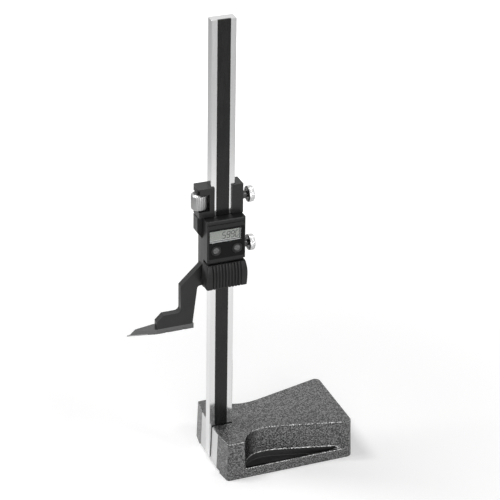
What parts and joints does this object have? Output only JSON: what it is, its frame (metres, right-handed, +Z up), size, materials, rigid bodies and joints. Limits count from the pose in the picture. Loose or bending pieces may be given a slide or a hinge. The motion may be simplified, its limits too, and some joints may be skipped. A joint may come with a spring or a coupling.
{
  "type": "height gauge",
  "caption": "Digital height gauge: cast base with an upright ground beam, a slide with display and carbide scriber, and a fine-feed carriage above it",
  "frame": {"origin": "on the surface the gauge stands on, under the middle of its overall length and width", "axes": "+Z up along the beam; +X along the base, away from the scriber; the display looks towards -Y"},
  "size_m": [0.2286, 0.0936, 0.4888],
  "materials": {
    "grey_paint": "glossy grey enamel over cast iron, ground pads and underside",
    "ground_steel": "satin ground stainless steel",
    "screw_steel": "blackened steel",
    "scale_laminate": "copper-patterned laminate",
    "black_foil": "black polyester film",
    "grey_casting": "satin dark grey die casting",
    "gib_brass": "plain",
    "tool_steel": "ground hardened steel",
    "carbide": "ground cemented carbide",
    "nut_steel": "satin, fluted",
    "bright_chrome": "bright knurled",
    "black_plastic": "fine moulded texture",
    "panel_gloss": "glossy printed panel",
    "clear_window": "clear acrylic",
    "lcd_grey": "reflective liquid crystal",
    "green_laminate": "solder mask",
    "elastomer": "striped elastomer",
    "dome_steel": "spring steel",
    "button_plastic": "satin"
  },
  "bodies": {
    "base": {"base_casting": "grey_paint", "beam": "ground_steel", "beam_screws": "screw_steel", "scale_strip": "scale_laminate", "scale_cover": "black_foil"},
    "carriage": {"carriage_block": "grey_casting", "carriage_clamp_pad": "gib_brass"},
    "carriage_screw": {"carriage_clamp": "bright_chrome"},
    "nut": {"fine_nut": "nut_steel"},
    "slide": {"slide_body": "grey_casting", "slide_gib": "gib_brass", "gib_screws": "screw_steel", "spindle": "ground_steel", "scriber_blade": "tool_steel", "scriber_tip": "carbide", "scriber_screws": "screw_steel", "housing": "black_plastic", "front_panel": "panel_gloss", "display_window": "clear_window", "display_module": "lcd_grey", "circuit_board": "green_laminate", "board_connector": "elastomer", "sensor_board": "green_laminate", "switch_domes": "dome_steel", "housing_screws": "screw_steel", "battery_tray": "black_plastic", "battery_contact": "gib_brass", "battery": "dome_steel"},
    "slide_screw": {"slide_clamp": "bright_chrome"},
    "button_1": {"left_button": "button_plastic"},
    "button_2": {"right_button": "button_plastic"},
    "cover": {"battery_cover": "black_plastic"}
  },
  "joints": [
    {"name": "coarse_travel", "type": "slide", "parent": "base", "child": "carriage", "axis": [0, 0, 1], "range_m": [-0.155, 0.165]},
    {"name": "fine_nut_turn", "type": "hinge", "parent": "carriage", "child": "nut", "pos_m": [-0.03995, 0.001, 0.3], "axis": [0, 0, 1], "range_deg": [-91, 3301]},
    {"name": "fine_feed", "type": "slide", "parent": "carriage", "child": "slide", "axis": [0, 0, 1], "range_m": [-0.0055, 0.00015]},
    {"name": "carriage_clamp_turn", "type": "hinge", "parent": "carriage", "child": "carriage_screw", "pos_m": [0.00945, 0, 0.3], "axis": [1, 0, 0], "range_deg": [0, 270]},
    {"name": "slide_clamp_turn", "type": "hinge", "parent": "slide", "child": "slide_screw", "pos_m": [0.01045, 0, 0.2464], "axis": [1, 0, 0], "range_deg": [0, 270]},
    {"name": "left_button_press", "type": "slide", "parent": "slide", "child": "button_1", "axis": [0, 1, 0], "range_m": [0, 0.0006], "stiffness_N_per_m": 900, "springref_m": -0.0004},
    {"name": "right_button_press", "type": "slide", "parent": "slide", "child": "button_2", "axis": [0, 1, 0], "range_m": [0, 0.0006], "stiffness_N_per_m": 900, "springref_m": -0.0004},
    {"name": "battery_cover_slide", "type": "slide", "parent": "slide", "child": "cover", "axis": [0, 0, -1], "range_m": [0, 0.024]}
  ],
  "couplings": [
    {"joint": "fine_nut_turn", "follows": "fine_feed", "rad_per_m": -10472}
  ]
}
